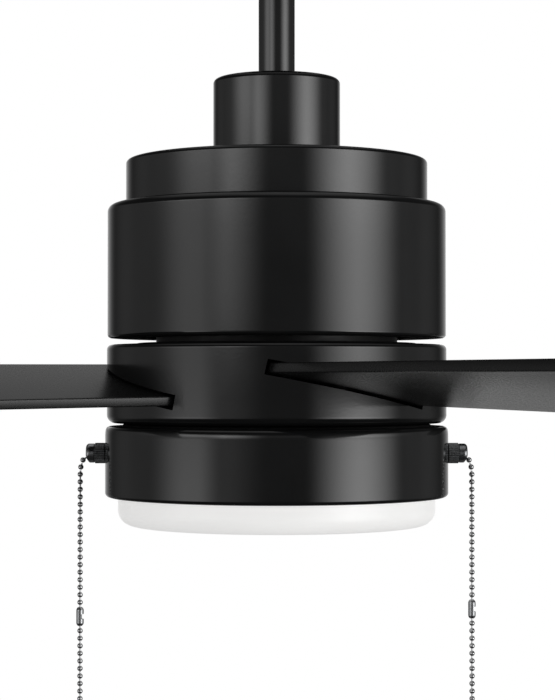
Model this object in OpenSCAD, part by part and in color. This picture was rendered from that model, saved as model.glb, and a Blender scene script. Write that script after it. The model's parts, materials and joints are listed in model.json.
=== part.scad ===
// Ceiling fan with four slotted-in blades, a flat drum light and two pull chains.
// Origin: centre of the ceiling face. +Z is up, so the whole fan hangs below z = 0.

/* [Mounting] */
// Distance from the ceiling to the top of the coupling cover
ceiling_drop = 139.5; // [136:0.5:150]
// Radius of the ceiling canopy
canopy_r = 65; // [64:0.5:75]
// Height of the ceiling canopy
canopy_h = 55; // [52:1:62]
// Distance between the two slots that take the ceiling box screws
box_screw_spacing = 88.9; // [84:0.1:92]
// Radius of the hanger ball
ball_r = 22; // [21.5:0.1:22.5]
// Outer radius of the downrod
rod_r = 10.65; // [10:0.05:11]

/* [Housing] */
// Radius of the coupling cover
cover_r = 37.2; // [34:0.1:42]
// Height of the coupling cover
cover_h = 48.1; // [46:0.1:52]
// Radius of the stepped upper housing
upper_r = 88.15; // [86:0.05:90]
// Height of the stepped upper housing
upper_h = 26.2; // [22:0.1:30]
// Radius of the main motor housing
housing_r = 98.8; // [97:0.1:104]
// Height of the main motor housing
housing_h = 77.6; // [76:0.1:80]
// Open gap between the motor housing and the blade hub
rotor_gap = 4; // [3.6:0.1:7]

/* [Blades] */
// Radius of the blade hub drum
hub_r = 99.1; // [97:0.1:104]
// Height of the blade hub drum
hub_h = 45.4; // [42:0.1:50]
// Number of blades
blade_count = 4; // [4:1:4]
// Distance from the fan's axis to a blade tip
blade_tip_r = 660; // [450:5:760]
// Width of a blade where it leaves the hub
blade_hub_w = 94.4; // [80:0.1:95]
// Extra width that each long edge gains per millimetre of reach
blade_flare = 0.028; // [0:0.001:0.04]
// Thickness of a blade
blade_t = 5.5; // [4:0.1:6]
// Pitch angle of the blades
blade_pitch = 11.4; // [8:0.1:12]
// Droop angle of the blades
blade_droop = 0.5; // [0:0.1:0.8]
// Direction of the first blade, counted from +X
blade_azimuth = 25.75; // [0:0.25:89]

/* [Light] */
// Gap between the blade hub and the light kit
kit_gap = 1.9; // [1.8:0.1:4]
// Radius of the light kit drum
kit_r = 100.1; // [99:0.1:104]
// Height of the light kit drum
kit_h = 40.9; // [40:0.1:46]
// Radius of the light diffuser
diffuser_r = 92.6; // [90:0.1:93]
// How far the diffuser stands below the light kit
diffuser_drop = 16.6; // [12:0.1:24]
// Radius of the diffuser's lower edge
diffuser_edge_r = 9; // [6:0.5:10]

/* [Pull chains] */
// Distance from the light kit's top to the axis of the chain outlets
outlet_drop = 15.9; // [15.4:0.1:17]
// Distance from the fan's axis to the hanging fan chain
fan_chain_x = 115; // [114:0.1:118]
// Distance from the fan's axis to the hanging light chain
light_chain_x = 114.2; // [114:0.1:118]
// Bead radius
bead_r = 1.6; // [1.2:0.1:1.8]
// Bead spacing
bead_pitch = 4.4; // [4.2:0.1:4.8]
// Beads between the outlet and the coupling on the fan chain
fan_upper_beads = 19; // [8:1:40]
// Beads between the outlet and the coupling on the light chain
light_upper_beads = 18; // [8:1:40]
// Beads below the coupling on each chain
lower_beads = 20; // [4:1:80]

/* [Hidden] */
$fn = 96;

// Colours
BLACK = [0.09, 0.09, 0.095];
BLADE_BLACK = [0.13, 0.13, 0.135];
STEEL = [0.62, 0.63, 0.65];
CAST = [0.72, 0.73, 0.74];
COPPER = [0.72, 0.4, 0.2];
LAMINATION = [0.35, 0.36, 0.38];
OPAL = [0.96, 0.96, 0.94];
CHAIN = [0.3, 0.3, 0.31];
PLASTIC = [0.2, 0.2, 0.22];

// Fits and sheet thicknesses
eps = 0.01;
running = 0.05;
free_gap = 0.3;
sheet_t = 1.2;
thick_sheet_t = 2;
cut = 1;
screw_hole_r = 2.2;
screw_head_r = 3.6;
screw_head_h = 1.9;
screw_r = 1.9;

// Heights of the stacked drums
z_cover_top = -ceiling_drop;
z_upper_top = z_cover_top - cover_h;
z_housing_top = z_upper_top - upper_h;
z_housing_bottom = z_housing_top - housing_h;
z_hub_top = z_housing_bottom - rotor_gap;
z_hub_bottom = z_hub_top - hub_h;
z_kit_top = z_hub_bottom - kit_gap;
z_kit_bottom = z_kit_top - kit_h;
z_diffuser_bottom = z_kit_bottom - diffuser_drop;
z_outlet = z_kit_top - outlet_drop;

// Canopy
canopy_edge_r = 6;
canopy_hole_r = 18.5;
canopy_screw_z = -8;
canopy_screw_r = 1.9;
canopy_head_r = 3.8;

// Hanger: ball seat, ball and rod
z_ball = -25;
ball_top = 12;
ball_cut = 17;
seat_gap = 0.15;
seat_top = 11;
seat_t = 3;
ball_pin_len = 38;
key_depth = 3.1;
key_w = 6;
rod_wall = 2.1;
rod_len = 152.4;
z_rod_top = z_ball + ball_top;
z_rod_bottom = z_rod_top - rod_len;
pin_r = 3;
z_yoke_pin = z_rod_bottom + 8.4;
yoke_r = 15.5;
yoke_pin_head = 2;
cotter_at = yoke_r + 3.5;
yoke_above = 19.4;
z_yoke_top = z_rod_bottom + yoke_above;
z_yoke_bottom = z_upper_top + 3.5;
set_screw_r = 2;
set_screw_len = 8;
z_yoke_set = z_rod_bottom + 14;

// Motor shaft and bearings
shaft_r = 8.5;
shaft_bore_r = 5;
z_shaft_top = z_rod_bottom - 3;
z_shaft_bottom = z_kit_top - 9.5;
bearing_r = 20;
bearing_w = 12;
bearing_ball_r = 3.35;
bearing_pitch_r = 14.25;
bearing_balls_n = 8;
bearing_boss_r = 24;
shaft_window_r = 12.6;
z_rotor_top = z_housing_top - 10.4;
z_upper_bearing = z_rotor_top - 9;
z_lower_bearing = z_hub_top + 16.4;
rotor_r = 72;
rotor_wall = 6;
z_rotor_split = z_rotor_top - 32;
neck_r = 70.5;
lip_r = 75.5;
cover_edge_r = 2.9;
upper_edge_r = 2.25;
upper_hole_r = 60;
housing_top_edge_r = 4.3;
housing_bottom_edge_r = 2;
housing_hole_r = 30;
plate_r = 80;
plate_vent_at = 45;
plate_vent_r = 12;
z_neck_top = z_hub_top + 8.9;
plate_z = z_housing_top - sheet_t;
housing_screw_r = 70;
rotor_screw_r = 69;
stator_r = 51;
stator_z = z_rotor_split;
stator_h = 24;
stator_teeth = 12;
coil_extra = 4;

// Hub and blades
hub_wall = 5;
hub_top_t = 3.5;
pad_r = 81.7;
pad_h = 1;
blade_raise = 0.45;
z_blade = z_hub_top - hub_h / 2 + blade_raise;
blade_root_r = 56;
slot_lead = 1.7;
slot_trail = 3.3;
slot_below = 1.5;
slot_above = 1.6;
slot_in = 78;
slot_len = 30;
hub_top_edge_r = 2.7;
hub_bottom_edge_r = 4.7;
hub_hole_r = 45;
hub_post_outer_r = 5;
hub_bolt_shank_r = 2.5;
hub_post_r = 80;
hub_bolt_r = 64;
blade_screw_pos = [[64, -28], [64, 28], [82, 0]];

// Light kit
kit_wall = 1.5;
kit_step_r = 90;
kit_step_h = 1.2;
kit_screw_r = 45;
z_heatsink = z_kit_bottom + 10.1;
heatsink_t = 2;
board_t = 1.6;
post_angles = [45, 135, 270];
post_r = 75;
kit_top_edge_r = 2.5;
kit_bottom_edge_r = 2.4;
kit_hole_r = 30;
kit_plate_r = 55;
outlet_nut_r = 6;
outlet_nut_len = 6.4;
nipple_r = 4.8;
nipple_bore_r = 3.2;
guide_r = 5.6;
guide_len = 4.9;
lug_angle = 10;
twist = 15;

// First beads of a chain, counted from the outlet: [x before the hanging line, height above the axis]
bead_route = [[-5.2, -1.35], [-1.6, -4.05], [-0.35, -8.15]];
z_chain = z_outlet - 12.4;
coupling_len = 11.6;
coupling_r = 2.2;
coupling_bore_r = 1.75;
coupling_hole_r = 1.1;
grip = 3.9;
wire_r = 0.5;
link_gap = 0.5;

// ---------- shared shapes ----------

// Half outline of a drum from z = 0 to h, with a rounded top and bottom edge
module drum_outline(r, h, top, bottom) {
    union() {
        square([r - bottom, h - top]);
        translate([0, bottom]) square([r - top, h - bottom]);
        translate([0, bottom]) square([r, h - top - bottom]);
        if (top > 0) translate([r - top, h - top]) circle(r = top);
        if (bottom > 0) translate([r - bottom, bottom]) circle(r = bottom);
    }
}

// Solid drum standing on z
module drum(r, z, h, top, bottom) {
    translate([0, 0, z]) rotate_extrude() intersection() {
        drum_outline(r, h, top, bottom);
        square([r + 1, h]);
    }
}

// Ring standing on z
module ring(outer, inner, z, h) {
    difference() {
        translate([0, 0, z]) cylinder(r = outer, h = h);
        translate([0, 0, z - 1]) cylinder(r = inner, h = h + 2);
    }
}

// Upright cylinder from z up
module post(x, y, z, r, h) {
    translate([x, y, z]) cylinder(r = r, h = h);
}

// Cylinder along +X from x
module rod_x(x, y, z, r, len) {
    translate([x, y, z]) rotate([0, 90, 0]) cylinder(r = r, h = len);
}

// Cylinder along +Y from y
module rod_y(x, y, z, r, len) {
    translate([x, y, z]) rotate([-90, 0, 0]) cylinder(r = r, h = len);
}

// Children repeated round the fan's axis
module around(count, first = 0) {
    for (i = [0:count - 1]) rotate([0, 0, first + i * 360 / count]) children();
}

// Children placed in the frame of blade i: +X outwards, +Y along the pitched width
module blade_frame(i) {
    rotate([0, 0, blade_azimuth + i * 360 / blade_count])
        translate([0, 0, z_blade])
            rotate([-blade_pitch, 0, 0])
                rotate([0, blade_droop, 0])
                    children();
}

// ---------- ceiling mount ----------

module ceiling_bracket() {
    bracket_w = 40;
    arm_x = 30;
    tab_x = 62;
    tab_h = 16;
    slot_len = 12;
    slot_r = 2.5;
    lead_hole_r = 7;
    z_seat = z_ball - seat_top - seat_t;
    color(STEEL) union() {
        difference() {
            intersection() {
                translate([-tab_x, -bracket_w / 2, -thick_sheet_t])
                    cube([2 * tab_x, bracket_w, thick_sheet_t]);
                translate([0, 0, -thick_sheet_t - 1]) cylinder(r = tab_x + 0.7, h = thick_sheet_t + 2);
            }
            for (side = [-1, 1]) {
                translate([side * box_screw_spacing / 2, 0, -thick_sheet_t - 1]) {
                    translate([-(slot_len / 2 - slot_r), -slot_r, 0])
                        cube([slot_len - 2 * slot_r, 2 * slot_r, thick_sheet_t + 2]);
                    for (end = [-1, 1]) translate([end * (slot_len / 2 - slot_r), 0, 0])
                        cylinder(r = slot_r, h = thick_sheet_t + 2);
                }
            }
            translate([14, 10, -thick_sheet_t - 1]) cylinder(r = lead_hole_r, h = thick_sheet_t + 2);
        }
        for (side = [-1, 1]) {
            difference() {
                translate([side > 0 ? tab_x - thick_sheet_t : -tab_x, -9, -tab_h])
                    cube([thick_sheet_t, 18, tab_h]);
                rod_x(side > 0 ? tab_x - 5 : -tab_x - 5, 0, -8, 1.95, 10);
            }
            translate([side > 0 ? arm_x - thick_sheet_t : -arm_x, -bracket_w / 2, z_seat])
                cube([thick_sheet_t, bracket_w, -z_seat]);
        }
        difference() {
            translate([-arm_x, -24, z_seat]) cube([2 * arm_x, 48, seat_t]);
            translate([0, 0, z_ball]) sphere(r = ball_r + seat_gap);
            translate([-12.5, -30, z_seat - 1]) cube([25, 30, seat_t + 2]);
        }
        translate([-arm_x + 1, -(key_w - 1) / 2, z_seat + 1])
            cube([arm_x - 1 - (ball_r - key_depth + 0.6), key_w - 1, 11]);
    }
}

module canopy() {
    color(BLACK) difference() {
        drum(canopy_r, -canopy_h, canopy_h, 0, canopy_edge_r);
        drum(canopy_r - sheet_t, -canopy_h + sheet_t, canopy_h + cut, 0, canopy_edge_r - sheet_t);
        translate([0, 0, -canopy_h - cut]) cylinder(r = canopy_hole_r, h = 5);
        for (side = [0, 180]) rotate([0, 0, side])
            rod_x(canopy_r - 4, 0, canopy_screw_z, screw_hole_r, 6);
    }
}

module canopy_screws() {
    color(BLACK) for (side = [0, 180]) rotate([0, 0, side]) difference() {
        union() {
            rod_x(57, 0, canopy_screw_z, canopy_screw_r, canopy_r - 56);
            rod_x(canopy_r + 0.05, 0, canopy_screw_z, canopy_head_r, 2.2);
        }
        translate([canopy_r + 1.2, -0.5, canopy_screw_z - 4]) cube([2, 1, 8]);
    }
}

// ---------- hanging tube ----------

module hanger_ball() {
    color(PLASTIC) difference() {
        intersection() {
            translate([0, 0, z_ball]) sphere(r = ball_r);
            translate([0, 0, z_ball - ball_cut]) cylinder(r = ball_r + 1, h = ball_cut + ball_top);
        }
        translate([0, 0, z_ball - ball_r]) cylinder(r = rod_r + running, h = 2 * ball_r);
        rod_y(0, -ball_r, z_ball, pin_r + running, 2 * ball_r);
        rotate([0, 0, 45]) rod_x(0, 0, z_ball, set_screw_r + running, ball_r);
        translate([0, key_w / 2, z_ball]) rotate([90, 0, 0]) difference() {
            cylinder(r = ball_r + 2, h = key_w);
            translate([0, 0, -1]) cylinder(r = ball_r - key_depth, h = key_w + 2);
        }
    }
}

module downrod() {
    color(BLACK) difference() {
        translate([0, 0, z_rod_bottom]) cylinder(r = rod_r, h = rod_len);
        translate([0, 0, z_rod_bottom - 1]) cylinder(r = rod_r - rod_wall, h = rod_len + 2);
        rod_y(0, -rod_r - 1, z_ball, pin_r + running, 2 * rod_r + 2);
        rod_y(0, -rod_r - 1, z_yoke_pin, pin_r + running, 2 * rod_r + 2);
    }
}

// The two steel pins: one locks the ball to the tube, the headed one the tube to the yoke
module cross_pins() {
    color(STEEL) {
        rod_y(0, -ball_pin_len / 2, z_ball, pin_r, ball_pin_len);
        difference() {
            union() {
                rod_y(0, -yoke_r - yoke_pin_head - 0.1, z_yoke_pin, pin_r + 2, yoke_pin_head);
                rod_y(0, -yoke_r - 0.1, z_yoke_pin, pin_r, 2 * yoke_r + 6);
            }
            post(0, cotter_at, z_yoke_pin - 5, 1.05, 10);
        }
    }
}

module set_screws() {
    color(LAMINATION) {
        rotate([0, 0, 45]) rod_x(rod_r + 0.02, 0, z_ball, set_screw_r, set_screw_len);
        for (side = [0, 180]) rotate([0, 0, side])
            rod_x(rod_r + 0.02, 0, z_yoke_set, set_screw_r, set_screw_len - 2);
        rod_x(shaft_r + 0.02, 0, z_shaft_top - 7, set_screw_r, set_screw_len);
    }
}

module yoke() {
    color(STEEL) difference() {
        drum(yoke_r, z_yoke_bottom, z_yoke_top - z_yoke_bottom, 1.5, 1.5);
        translate([0, 0, z_rod_bottom - 1.5]) cylinder(r = rod_r + running, h = yoke_above + 3);
        translate([0, 0, z_yoke_bottom - 1]) cylinder(r = shaft_r + running, h = 40);
        rod_y(0, -yoke_r - 1, z_yoke_pin, pin_r + running, 2 * yoke_r + 2);
        rod_x(-yoke_r - 1, 0, z_yoke_set, set_screw_r + running, 2 * yoke_r + 2);
        rod_x(0, 0, z_shaft_top - 7, set_screw_r + running, yoke_r + 1);
    }
}

// Hairpin clip through the yoke pin
module yoke_cotter() {
    bend_r = 3;
    wire = 0.95;
    color(STEEL) union() {
        post(0, cotter_at, z_yoke_pin - 7, wire, 12);
        post(0, cotter_at + 2 * bend_r, z_yoke_pin - 4, wire, 9);
        translate([0, cotter_at + bend_r, z_yoke_pin + 5]) rotate([90, 0, 90])
            rotate_extrude(angle = 180) translate([bend_r, 0]) circle(r = wire);
    }
}

module motor_shaft() {
    color(STEEL) difference() {
        union() {
            translate([0, 0, z_shaft_bottom]) cylinder(r = shaft_r, h = z_shaft_top - z_shaft_bottom);
            translate([0, 0, plate_z - 6]) cylinder(r = 12, h = 4);
        }
        translate([0, 0, z_shaft_bottom - 1])
            cylinder(r = shaft_bore_r, h = z_shaft_top - z_shaft_bottom + 2);
    }
}

// Hexagon nuts above the housing plate and below the light kit plate
module shaft_nuts() {
    nut_r = 13;
    nut_h = 5;
    z_upper_nut = plate_z + eps;
    z_lower_nut = z_kit_top + kit_step_h - kit_wall - thick_sheet_t - nut_h - eps;
    color(STEEL) for (z = [z_upper_nut, z_lower_nut]) difference() {
        translate([0, 0, z]) cylinder(r = nut_r, h = nut_h, $fn = 6);
        translate([0, 0, z - 1]) cylinder(r = shaft_r + running, h = nut_h + 2);
    }
}

// Bundle that passes beside both pins, then down the hollow shaft and out to the switches
module lead_wires() {
    bundle_r = 2.2;
    joint_r = 2.35;
    bend_r = 10;
    beside_x = 5.8;
    shaft_x = 2.4;
    z_aside = z_rod_bottom + 4;
    z_in = z_shaft_top + 0.5;
    z_bend = z_kit_top - 11;
    slope = atan2(beside_x - shaft_x, z_aside - z_in);
    color([0.15, 0.15, 0.15]) union() {
        post(beside_x, 0, z_aside, bundle_r, z_rod_top - 3 - z_aside);
        translate([beside_x, 0, z_aside]) sphere(r = joint_r);
        translate([shaft_x, 0, z_in]) rotate([0, slope, 0])
            cylinder(r = bundle_r, h = (z_aside - z_in) / cos(slope));
        translate([shaft_x, 0, z_in]) sphere(r = joint_r);
        post(shaft_x, 0, z_bend, bundle_r, z_in - z_bend);
        translate([shaft_x, bend_r, z_bend]) rotate([0, -90, 0]) rotate([0, 0, 180])
            rotate_extrude(angle = 90) translate([bend_r, 0]) circle(r = bundle_r);
        rod_y(shaft_x, bend_r, z_bend - bend_r, bundle_r, 20);
    }
}

// ---------- housings ----------

module coupling_cover() {
    color(BLACK) difference() {
        drum(cover_r, z_upper_top + 0.05, cover_h - 0.05, cover_edge_r, 0);
        drum(cover_r - sheet_t, z_upper_top - cut, cover_h - sheet_t + cut, cover_edge_r - sheet_t, 0);
        translate([0, 0, z_cover_top - 5]) cylinder(r = rod_r + free_gap, h = 10);
    }
}

module upper_housing() {
    color(BLACK) difference() {
        drum(upper_r, z_housing_top, upper_h, upper_edge_r, 0);
        drum(upper_r - sheet_t, z_housing_top + sheet_t, upper_h - 2 * sheet_t, upper_edge_r - sheet_t, 0);
        translate([0, 0, z_housing_top - cut]) cylinder(r = upper_hole_r, h = 5);
        translate([0, 0, z_upper_top - 5]) cylinder(r = shaft_r + 1, h = 10);
        around(4, 45) post(housing_screw_r, 0, z_housing_top - 1, 2, 4);
    }
}

module main_housing() {
    color(BLACK) difference() {
        drum(housing_r, z_housing_bottom, housing_h, housing_top_edge_r, housing_bottom_edge_r);
        drum(housing_r - sheet_t, z_housing_bottom + sheet_t, housing_h - 2 * sheet_t,
            housing_top_edge_r - sheet_t, housing_bottom_edge_r - sheet_t);
        translate([0, 0, z_housing_bottom - cut]) cylinder(r = lip_r, h = 5);
        translate([0, 0, z_housing_top - 5]) cylinder(r = housing_hole_r, h = 10);
        around(4, 45) post(housing_screw_r, 0, z_housing_top - 3, screw_hole_r, 5);
    }
}

module housing_plate() {
    color(STEEL) difference() {
        translate([0, 0, plate_z - thick_sheet_t]) cylinder(r = plate_r, h = thick_sheet_t);
        translate([0, 0, plate_z - 4]) cylinder(r = shaft_r + running, h = 6);
        around(4, 45) post(housing_screw_r, 0, plate_z - 4, screw_hole_r, 6);
        around(4, 0) post(plate_vent_at, 0, plate_z - 4, plate_vent_r, 6);
    }
}

module housing_screws() {
    color(STEEL) around(4, 45) {
        post(housing_screw_r, 0, plate_z - thick_sheet_t - screw_head_h, screw_head_r, screw_head_h - eps);
        post(housing_screw_r, 0, plate_z - thick_sheet_t - 1.5, screw_r, 8);
    }
}

// ---------- motor, fixed half ----------

module stator_core() {
    tooth_w = 7;
    tip_t = 3;
    color(LAMINATION) difference() {
        intersection() {
            translate([0, 0, stator_z - stator_h / 2]) union() {
                cylinder(r = 25, h = stator_h);
                around(stator_teeth) {
                    translate([0, -tooth_w / 2, 0]) cube([stator_r + 1, tooth_w, stator_h]);
                    translate([stator_r - tip_t, -10, 0]) cube([tip_t + 2, 20, stator_h]);
                }
            }
            translate([0, 0, stator_z - stator_h / 2 - 1]) cylinder(r = stator_r, h = stator_h + 2);
        }
        translate([0, 0, stator_z - stator_h]) cylinder(r = shaft_r + running, h = 2 * stator_h);
    }
}

module stator_windings() {
    coil_w = 12.6;
    coil_in = 27;
    coil_out = 47.5;
    hole_w = 7.1;
    color(COPPER) around(stator_teeth) difference() {
        translate([coil_in, -coil_w / 2, stator_z - stator_h / 2 - coil_extra])
            cube([coil_out - coil_in, coil_w, stator_h + 2 * coil_extra]);
        translate([coil_in - 1, -hole_w / 2, stator_z - stator_h / 2 - running])
            cube([coil_out - coil_in + 2, hole_w, stator_h + 2 * running]);
    }
}

// Outline of one ball-bearing race with its groove
module race_outline(inner, outer) {
    difference() {
        translate([inner, -bearing_w / 2]) square([outer - inner, bearing_w]);
        translate([bearing_pitch_r, 0]) circle(r = bearing_ball_r + running);
    }
}

module bearing_inner_races() {
    color(STEEL) for (z = [z_upper_bearing, z_lower_bearing])
        translate([0, 0, z]) rotate_extrude() race_outline(shaft_r + 0.02, 12);
}

// ---------- motor, turning half ----------

module bearing_outer_races() {
    color(STEEL) for (z = [z_upper_bearing, z_lower_bearing])
        translate([0, 0, z]) rotate_extrude() race_outline(16.6, bearing_r);
}

module bearing_balls() {
    color(STEEL) for (z = [z_upper_bearing, z_lower_bearing])
        translate([0, 0, z]) around(bearing_balls_n) translate([bearing_pitch_r, 0, 0])
            sphere(r = bearing_ball_r);
}

module rotor_top_shell() {
    top_t = 3;
    color(CAST) difference() {
        union() {
            difference() {
                drum(rotor_r, z_rotor_split, z_rotor_top - z_rotor_split, 5, 0);
                translate([0, 0, z_rotor_split - 1])
                    cylinder(r = rotor_r - rotor_wall, h = z_rotor_top - z_rotor_split - top_t + 1);
            }
            translate([0, 0, z_upper_bearing - bearing_w / 2])
                cylinder(r = bearing_boss_r, h = bearing_w + 2);
        }
        translate([0, 0, z_upper_bearing - bearing_w / 2 - 1])
            cylinder(r = bearing_r + 0.02, h = bearing_w + 1.02);
        translate([0, 0, z_rotor_top - 20]) cylinder(r = shaft_window_r, h = 30);
        around(4) post(rotor_screw_r, 0, z_rotor_split - 1, 1.6, 60);
        around(4) post(rotor_screw_r, 0, z_rotor_top - 3, 3, 10);
    }
}

module rotor_bottom_shell() {
    color(CAST) difference() {
        union() {
            difference() {
                translate([0, 0, z_neck_top - 0.5])
                    cylinder(r = rotor_r, h = z_rotor_split - z_neck_top + 0.5);
                translate([0, 0, z_neck_top - 1])
                    cylinder(r = rotor_r - rotor_wall, h = z_rotor_split - z_neck_top + 3);
            }
            ring(neck_r, 56, z_hub_top + pad_h, z_neck_top - z_hub_top - pad_h);
            translate([0, 0, z_neck_top - 3]) cylinder(r = neck_r, h = 3);
            translate([0, 0, z_lower_bearing - bearing_w / 2 - 2])
                cylinder(r = bearing_boss_r, h = bearing_w + 2);
        }
        translate([0, 0, z_lower_bearing - bearing_w / 2 - 0.02])
            cylinder(r = bearing_r + 0.02, h = bearing_w + 3);
        translate([0, 0, z_hub_top]) cylinder(r = shaft_window_r, h = 30);
        around(4) post(rotor_screw_r, 0, z_rotor_split - 9, 1.55, 20);
        around(4, blade_azimuth + 45) post(hub_bolt_r, 0, z_hub_top, 2.55, 8);
    }
}

module rotor_ring() {
    color(LAMINATION) ring(rotor_r - rotor_wall - 0.02, stator_r + 0.8, stator_z - 15, 30);
}

module rotor_screws() {
    color(STEEL) around(4) {
        post(rotor_screw_r, 0, z_rotor_top - 3 + eps, 2.8, 2.6);
        post(rotor_screw_r, 0, z_rotor_split - 8, 1.5, z_rotor_top - z_rotor_split + 5.5);
    }
}

// ---------- blade hub and blades ----------

module blade_hub() {
    inner_r = hub_r - hub_wall;
    color(BLACK) difference() {
        union() {
            difference() {
                drum(hub_r, z_hub_bottom, hub_h, hub_top_edge_r, hub_bottom_edge_r);
                translate([0, 0, z_hub_bottom - 1]) cylinder(r = inner_r, h = hub_h - hub_top_t + 1);
            }
            translate([0, 0, z_hub_top - 1]) cylinder(r = pad_r, h = pad_h + 1 - eps);
            around(blade_count, blade_azimuth + 45)
                post(hub_post_r, 0, z_hub_bottom + 3.5, hub_post_outer_r, hub_h - 5);
            intersection() {
                for (i = [0:blade_count - 1]) blade_frame(i)
                    translate([56, -38, blade_t / 2 + running]) cube([32, 76, 40]);
                translate([0, 0, z_hub_bottom]) cylinder(r = inner_r + 1, h = hub_h - 1);
            }
        }
        translate([0, 0, z_hub_top - 10]) cylinder(r = hub_hole_r, h = 20);
        for (i = [0:blade_count - 1]) blade_frame(i) {
            translate([slot_in, -blade_hub_w / 2 - slot_lead, -blade_t / 2 - slot_below])
                cube([slot_len, blade_hub_w + slot_lead + slot_trail, blade_t + slot_below + slot_above]);
            for (p = blade_screw_pos) translate([p[0], p[1], 0]) cylinder(r = 2.05, h = 11);
        }
        around(4, blade_azimuth + 45) post(hub_bolt_r, 0, z_hub_top - 10, 2.55, 20);
        around(4, blade_azimuth + 45) post(hub_post_r, 0, z_hub_bottom, 1.55, 15);
    }
}

// Bolts up into the rotor, and screws that hold the hub's base plate
module hub_screws() {
    color(STEEL) around(4, blade_azimuth + 45) {
        post(hub_bolt_r, 0, z_hub_top - hub_top_t - 3, 4.5, 3 - eps);
        post(hub_bolt_r, 0, z_hub_top - hub_top_t - 1, hub_bolt_shank_r, 10);
        post(hub_post_r, 0, z_hub_bottom + 0.1, 3.2, 1.4 - eps);
        post(hub_post_r, 0, z_hub_bottom + 1, 1.5, 10);
    }
}

module hub_base_plate() {
    color(BLACK) difference() {
        translate([0, 0, z_hub_bottom + 1.5]) cylinder(r = hub_r - hub_wall - 0.1, h = 2 - eps);
        translate([0, 0, z_hub_bottom]) cylinder(r = 12, h = 5);
        around(4, blade_azimuth + 45) post(hub_post_r, 0, z_hub_bottom, 1.7, 5);
    }
}

function blade_half_w(r) = blade_hub_w / 2 + (r - hub_r) * blade_flare;

// Corner of the blade's plan with its centre at [x, y]: n + 1 points from angle a to b
function corner(x, y, r, a, b, n) =
    [for (k = [0:n]) [x + r * cos(a + (b - a) * k / n), y + r * sin(a + (b - a) * k / n)]];

module blade(i) {
    tip_corner_r = 22;
    root_corner_r = 6;
    tip_y = blade_half_w(blade_tip_r) - tip_corner_r;
    root_y = blade_half_w(blade_root_r) - root_corner_r;
    outline = concat(
        corner(blade_tip_r - tip_corner_r, -tip_y, tip_corner_r, -88.4, 0, 8),
        corner(blade_tip_r - tip_corner_r, tip_y, tip_corner_r, 0, 88.4, 8),
        corner(blade_root_r + root_corner_r, root_y, root_corner_r, 91.6, 180, 4),
        corner(blade_root_r + root_corner_r, -root_y, root_corner_r, 180, 268.4, 4)
    );
    color(BLADE_BLACK) blade_frame(i) difference() {
        translate([0, 0, -blade_t / 2]) linear_extrude(blade_t) polygon(outline);
        for (p = blade_screw_pos) translate([p[0], p[1], -blade_t]) cylinder(r = 2.2, h = 2 * blade_t);
    }
}

module blade_screws() {
    color(STEEL) for (i = [0:blade_count - 1]) blade_frame(i) for (p = blade_screw_pos)
        translate([p[0], p[1], -blade_t / 2]) {
            translate([0, 0, -2.2]) cylinder(r = 4, h = 2.2 - eps);
            translate([0, 0, -1]) cylinder(r = 2, h = 13);
        }
}

// ---------- light kit ----------

module kit_plate() {
    z_plate = z_kit_top + kit_step_h - kit_wall - 2;
    color(STEEL) difference() {
        translate([0, 0, z_plate]) cylinder(r = kit_plate_r, h = thick_sheet_t - eps);
        translate([0, 0, z_plate - 1]) cylinder(r = shaft_r + running, h = 4);
        around(3, 30) post(kit_screw_r, 0, z_plate - 1, screw_hole_r, 4);
    }
}

module kit_screws() {
    z_plate = z_kit_top + kit_step_h - kit_wall - 2;
    color(STEEL) {
        around(3, 30) {
            post(kit_screw_r, 0, z_plate - screw_head_h, screw_head_r, screw_head_h - eps);
            post(kit_screw_r, 0, z_plate - 1, screw_r, 4.3);
        }
        for (a = post_angles) rotate([0, 0, a]) {
            post(post_r, 0, z_heatsink - screw_head_h, screw_head_r, screw_head_h - eps);
            post(post_r, 0, z_heatsink - 1, screw_r, 10);
        }
    }
}

module kit_housing() {
    step_inner = kit_step_r - kit_wall;
    notch_h = 5;
    color(BLACK) difference() {
        union() {
            drum(kit_r, z_kit_bottom, kit_h, kit_top_edge_r, kit_bottom_edge_r);
            translate([0, 0, z_kit_top - 1]) cylinder(r = kit_step_r, h = kit_step_h + 1);
        }
        drum(kit_r - kit_wall, z_kit_bottom + kit_wall, kit_h - 2 * kit_wall,
            kit_top_edge_r - kit_wall, kit_bottom_edge_r - kit_wall);
        translate([0, 0, z_kit_top - 5]) cylinder(r = step_inner, h = 5 + kit_step_h - kit_wall);
        translate([0, 0, z_kit_top - cut]) cylinder(r = kit_hole_r, h = 5);
        translate([0, 0, z_kit_bottom - 1]) cylinder(r = diffuser_r + free_gap, h = notch_h);
        around(3, 30) post(kit_screw_r, 0, z_kit_top - cut, 2, 5);
        for (side = [0, 180]) rotate([0, 0, side]) rod_x(kit_r - 5, 0, z_outlet, nipple_r + 0.1, 10);
        translate([-8, kit_r - 5, z_outlet - 2.6]) cube([16, 10, 5.2]);
        around(3, 90 + twist) lug(diffuser_r - 2, kit_r - 2.2, z_kit_bottom - 1, notch_h, lug_angle + 3);
    }
}

// Sector of a ring centred on +X
module lug(inner, outer, z, h, angle) {
    translate([0, 0, z]) rotate([0, 0, -angle / 2]) rotate_extrude(angle = angle)
        translate([inner, 0]) square([outer - inner, h]);
}

// Pull-chain switch: body inside the kit and a hollow threaded nipple through its wall
module pull_switch(side) {
    body_x = 74;
    body_len = 20;
    body_w = 22;
    nipple_x = body_x + body_len - 1;
    color(PLASTIC) mirror([side < 0 ? 1 : 0, 0, 0]) difference() {
        union() {
            translate([body_x, -body_w / 2, z_outlet - 11]) cube([body_len, body_w, 22]);
            rod_x(nipple_x, 0, z_outlet, nipple_r, kit_r + outlet_nut_len - nipple_x);
        }
        rod_x(body_x + 6, 0, z_outlet, nipple_bore_r, 60);
    }
}

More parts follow.
